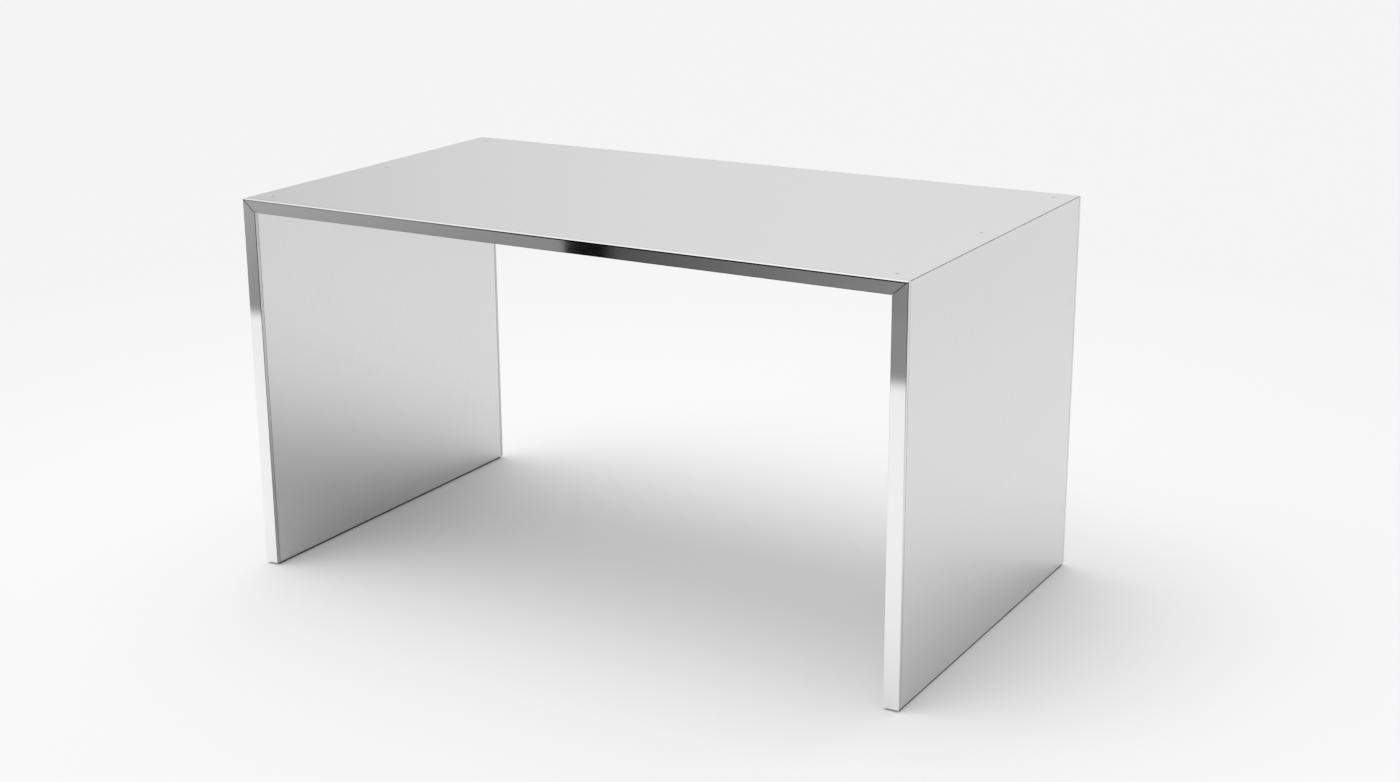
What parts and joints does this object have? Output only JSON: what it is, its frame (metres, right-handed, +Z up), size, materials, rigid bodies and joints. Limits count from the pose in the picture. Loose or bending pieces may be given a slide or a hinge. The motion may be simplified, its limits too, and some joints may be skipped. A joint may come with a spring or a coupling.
{
  "type": "waterfall table",
  "caption": "Waterfall table with hollow satin steel panels, mitred polished edge bars and screw-in levelling feet hidden in the base rails.",
  "frame": {"origin": "on the floor at the centre of the table's footprint", "axes": "+X to the right along the width, -Y out of the front, +Z up"},
  "size_m": [1.4, 0.785, 0.75],
  "materials": {
    "satin_steel": "satin stainless, fine even grain, soft reflections",
    "polished_steel": "mirror polished stainless bar",
    "black_coating": "matt black powder coat on steel",
    "screw_steel": "satin stainless screw heads",
    "galvanised_steel": "galvanised folded sheet",
    "plain_steel": "mill finish steel",
    "zinc_steel": "bright zinc plating",
    "black_nylon": "moulded black nylon"
  },
  "bodies": {
    "table": {"top_skin": "satin_steel", "top_under_skin": "satin_steel", "top_edge_channels": "galvanised_steel", "top_ribs": "galvanised_steel", "top_front_bar": "polished_steel", "top_rear_bar": "polished_steel", "left_outer_skin": "satin_steel", "left_inner_skin": "satin_steel", "left_edge_channels": "galvanised_steel", "left_ribs": "galvanised_steel", "left_front_bar": "polished_steel", "left_rear_bar": "polished_steel", "left_corner_angle": "plain_steel", "left_top_screws": "screw_steel", "left_screw_sleeves": "plain_steel", "left_weld_nuts": "plain_steel", "left_base_rail": "black_coating", "left_foot_bushes": "plain_steel", "right_outer_skin": "satin_steel", "right_inner_skin": "satin_steel", "right_edge_channels": "galvanised_steel", "right_ribs": "galvanised_steel", "right_front_bar": "polished_steel", "right_rear_bar": "polished_steel", "right_corner_angle": "plain_steel", "right_top_screws": "screw_steel", "right_screw_sleeves": "plain_steel", "right_weld_nuts": "plain_steel", "right_base_rail": "black_coating", "right_foot_bushes": "plain_steel"},
    "pad_front_left": {"foot_pad_front_left": "black_nylon"},
    "stud_front_left": {"foot_stud_front_left": "zinc_steel"},
    "pad_front_right": {"foot_pad_front_right": "black_nylon"},
    "stud_front_right": {"foot_stud_front_right": "zinc_steel"},
    "pad_rear_left": {"foot_pad_rear_left": "black_nylon"},
    "stud_rear_left": {"foot_stud_rear_left": "zinc_steel"},
    "pad_rear_right": {"foot_pad_rear_right": "black_nylon"},
    "stud_rear_right": {"foot_stud_rear_right": "zinc_steel"}
  },
  "joints": [
    {"name": "foot_height_front_left", "type": "slide", "parent": "table", "child": "pad_front_left", "axis": [0, 0, -1], "range_m": [0, 0.01]},
    {"name": "stud_turn_front_left", "type": "hinge", "parent": "pad_front_left", "child": "stud_front_left", "pos_m": [-0.6855, -0.3325, 0.004], "axis": [0, 0, -1], "range_deg": [-1, 2881]},
    {"name": "foot_height_front_right", "type": "slide", "parent": "table", "child": "pad_front_right", "axis": [0, 0, -1], "range_m": [0, 0.01]},
    {"name": "stud_turn_front_right", "type": "hinge", "parent": "pad_front_right", "child": "stud_front_right", "pos_m": [0.6855, -0.3325, 0.004], "axis": [0, 0, -1], "range_deg": [-1, 2881]},
    {"name": "foot_height_rear_left", "type": "slide", "parent": "table", "child": "pad_rear_left", "axis": [0, 0, -1], "range_m": [0, 0.01]},
    {"name": "stud_turn_rear_left", "type": "hinge", "parent": "pad_rear_left", "child": "stud_rear_left", "pos_m": [-0.6855, 0.3325, 0.004], "axis": [0, 0, -1], "range_deg": [-1, 2881]},
    {"name": "foot_height_rear_right", "type": "slide", "parent": "table", "child": "pad_rear_right", "axis": [0, 0, -1], "range_m": [0, 0.01]},
    {"name": "stud_turn_rear_right", "type": "hinge", "parent": "pad_rear_right", "child": "stud_rear_right", "pos_m": [0.6855, 0.3325, 0.004], "axis": [0, 0, -1], "range_deg": [-1, 2881]}
  ],
  "couplings": [
    {"joint": "stud_turn_front_left", "follows": "foot_height_front_left", "rad_per_m": 5026.5},
    {"joint": "stud_turn_front_right", "follows": "foot_height_front_right", "rad_per_m": 5026.5},
    {"joint": "stud_turn_rear_left", "follows": "foot_height_rear_left", "rad_per_m": 5026.5},
    {"joint": "stud_turn_rear_right", "follows": "foot_height_rear_right", "rad_per_m": 5026.5}
  ]
}
